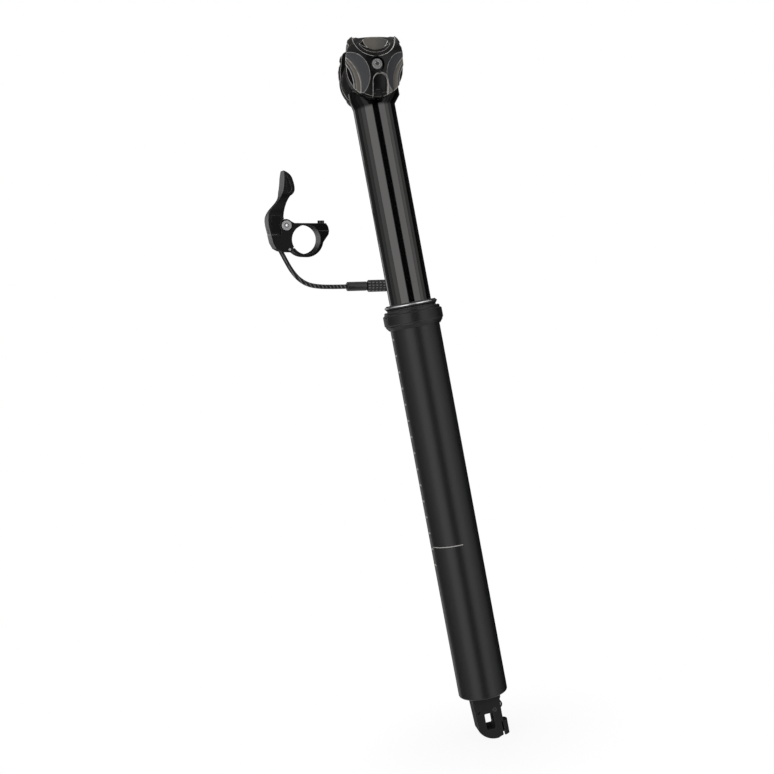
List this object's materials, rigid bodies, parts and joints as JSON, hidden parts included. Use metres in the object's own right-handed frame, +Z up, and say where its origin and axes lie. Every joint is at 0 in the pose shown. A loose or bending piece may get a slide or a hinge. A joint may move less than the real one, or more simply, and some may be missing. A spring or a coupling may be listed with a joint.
{
  "type": "dropper seatpost",
  "caption": "Dropper seatpost with a sprung stanchion, tilting one-bolt saddle clamp, foot actuator, and a thumb remote on a short cable",
  "frame": {"origin": "on the post's axis at the underside of the collar, where the seat clamp's top lies when the post is fully inserted", "axes": "+Z up the post, +X forward, +Y to the rider's left"},
  "size_m": [0.1048, 0.1472, 0.4946],
  "materials": {
    "black_anodised": "matte black anodised tube",
    "collar_black": "matte black anodised, turned",
    "gloss_black": "gloss black hard anodised",
    "head_black": "satin black forged alloy",
    "cast_dark": "dark grey anodised",
    "cast_grey": "plain machined alloy",
    "cartridge_alloy": "drawn alloy tube",
    "seal_rubber": "black nitrile rubber",
    "bush_polymer": "filled polymer bearing",
    "plain_steel": "zinc plated steel",
    "bright_steel": "stainless steel",
    "chromed_steel": "ground and chromed rod",
    "black_steel": "black oxide steel",
    "spring_steel": "oiled spring steel",
    "key_brass": "plain brass",
    "remote_dark": "dark grey anodised",
    "cap_black": "black nylon",
    "cable_sheath": "dark grey housing",
    "cable_wire": "stranded steel wire",
    "ferrule_grey": "grey anodised, turned"
  },
  "bodies": {
    "root": {"lower_tube": "black_anodised", "collar_nut": "collar_black", "wiper_seal": "seal_rubber", "wiper_ring": "bright_steel", "upper_bushing": "bush_polymer", "foot_plug": "black_anodised", "rod_nut": "plain_steel", "cartridge_rod": "chromed_steel", "piston": "cast_grey", "piston_seal": "seal_rubber", "actuator_frame": "cast_dark", "actuator_pivot_pin": "plain_steel", "frame_screw": "black_steel", "remote_body": "remote_dark", "clamp_band": "remote_dark", "clamp_hinge_pin": "bright_steel", "clamp_band_bolt": "bright_steel", "lever_bolt": "bright_steel", "lever_nut": "plain_steel", "lever_spring": "spring_steel", "cable_housing": "cable_sheath", "inner_cable": "cable_wire", "wire_crimp": "cast_grey", "cable_ferrule": "ferrule_grey"},
    "barrel_adjuster": {"barrel_adjuster": "ferrule_grey"},
    "cartridge": {"cartridge_cylinder": "cartridge_alloy", "cartridge_seal_head": "cast_grey", "rod_seal": "seal_rubber", "cartridge_cap": "cast_grey", "suspension_spring": "spring_steel"},
    "stanchion": {"stanchion": "gloss_black", "stanchion_end_cap": "cast_grey", "topout_bumper": "seal_rubber", "lower_bushing": "bush_polymer", "guide_keys": "key_brass", "spring_seat": "bush_polymer"},
    "saddle_clamp": {"clamp_plate_right": "head_black", "clamp_plate_left": "head_black", "cradle_right": "head_black", "cradle_left": "head_black", "clamp_cross_bolt": "bright_steel", "clamp_washers": "bright_steel", "clamp_nut": "plain_steel"},
    "actuator_rocker": {"rocker": "cast_dark", "rocker_nipple": "bright_steel", "nipple_grub_screw": "black_steel"},
    "valve_pin": {"valve_pin": "plain_steel"},
    "remote_lever": {"lever": "remote_dark", "lever_bush": "key_brass", "lever_cap": "cap_black", "lever_nipple": "plain_steel"}
  },
  "joints": [
    {"name": "dropper_travel", "type": "slide", "parent": "root", "child": "cartridge", "axis": [0, 0, -1], "range_m": [0, 0.1]},
    {"name": "suspension_travel", "type": "slide", "parent": "cartridge", "child": "stanchion", "axis": [0, 0, -1], "range_m": [0, 0.035], "stiffness_N_per_m": 12000, "deforming": ["suspension_spring"]},
    {"name": "saddle_tilt", "type": "hinge", "parent": "stanchion", "child": "saddle_clamp", "pos_m": [0.0015, 0, 0.1752], "axis": [0, 1, 0], "range_deg": [-12, 12]},
    {"name": "actuator_rock", "type": "hinge", "parent": "root", "child": "actuator_rocker", "pos_m": [0.0046, 0, -0.276], "axis": [0, 1, 0], "range_deg": [0, 22], "stiffness_Nm_per_rad": 0.00005, "springref_deg": -28.65},
    {"name": "valve_lift", "type": "slide", "parent": "root", "child": "valve_pin", "axis": [0, 0, 1], "range_m": [0, 0.00165]},
    {"name": "lever_press", "type": "hinge", "parent": "root", "child": "remote_lever", "pos_m": [-0.0693, 0.09182, 0.09346], "axis": [-0.1301, 0.9854, 0.11], "range_deg": [0, 22], "stiffness_Nm_per_rad": 0.05},
    {"name": "adjuster_turn", "type": "hinge", "parent": "root", "child": "barrel_adjuster", "pos_m": [-0.02942, 0.10312, 0.03948], "axis": [0.9789, 0.1454, -0.1436], "continuous": true}
  ],
  "couplings": [
    {"joint": "actuator_rock", "follows": "valve_lift", "rad_per_m": 232.56}
  ]
}
